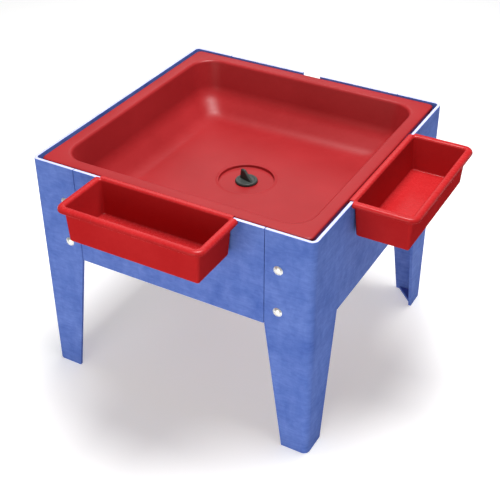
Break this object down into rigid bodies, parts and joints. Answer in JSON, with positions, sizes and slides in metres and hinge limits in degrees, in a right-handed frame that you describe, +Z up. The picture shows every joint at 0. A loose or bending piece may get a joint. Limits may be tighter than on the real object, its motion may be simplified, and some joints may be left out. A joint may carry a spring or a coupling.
{
  "type": "sand and water table",
  "caption": "Low square sand and water table: folded-sheet frame on tapered legs, lift-out tub with a drain plug, and small trays hooked over the frame's top edge.",
  "frame": {"origin": "middle of the whole object's box, trays included, on the floor", "axes": "+Z up; the front, where one tray hangs, faces -Y; the side tray hangs on +X"},
  "size_m": [0.6744, 0.6736, 0.4635],
  "materials": {
    "sheet": "cloudy blue plastic sheet, satin, with pale sawn edges",
    "tub": "moulded red plastic, satin",
    "tray": "moulded red plastic, semi-gloss",
    "plug": "moulded black plastic, satin",
    "seal": "black rubber washer",
    "fasteners": "zinc-plated steel"
  },
  "bodies": {
    "frame": {"left_side_panel": "sheet", "right_side_panel": "sheet", "front_apron": "sheet", "back_apron": "sheet", "splice_plate_front_left": "sheet", "splice_plate_front_right": "sheet", "splice_plate_back_left": "sheet", "splice_plate_back_right": "sheet", "foot_plate_front_left": "sheet", "foot_plate_front_right": "sheet", "foot_plate_back_left": "sheet", "foot_plate_back_right": "sheet", "front_ledge": "sheet", "back_ledge": "sheet", "left_ledge": "sheet", "right_ledge": "sheet", "carriage_bolts": "fasteners", "bolt_washers": "fasteners", "lock_nuts": "fasteners"},
    "tub": {"tub": "tub"},
    "plug": {"drain_plug": "plug", "plug_seal": "seal"},
    "front_tray": {"front_tray": "tray"},
    "side_tray": {"side_tray": "tray"}
  },
  "joints": [
    {"name": "tub_lift", "type": "slide", "parent": "frame", "child": "tub", "axis": [0, 0, 1], "range_m": [0, 0.2]},
    {"name": "plug_lift", "type": "slide", "parent": "tub", "child": "plug", "axis": [0, 0, 1], "range_m": [0, 0.08]},
    {"name": "front_tray_lift", "type": "slide", "parent": "frame", "child": "front_tray", "axis": [0, 0, 1], "range_m": [0, 0.15]},
    {"name": "side_tray_lift", "type": "slide", "parent": "frame", "child": "side_tray", "axis": [0, 0, 1], "range_m": [0, 0.15]}
  ]
}
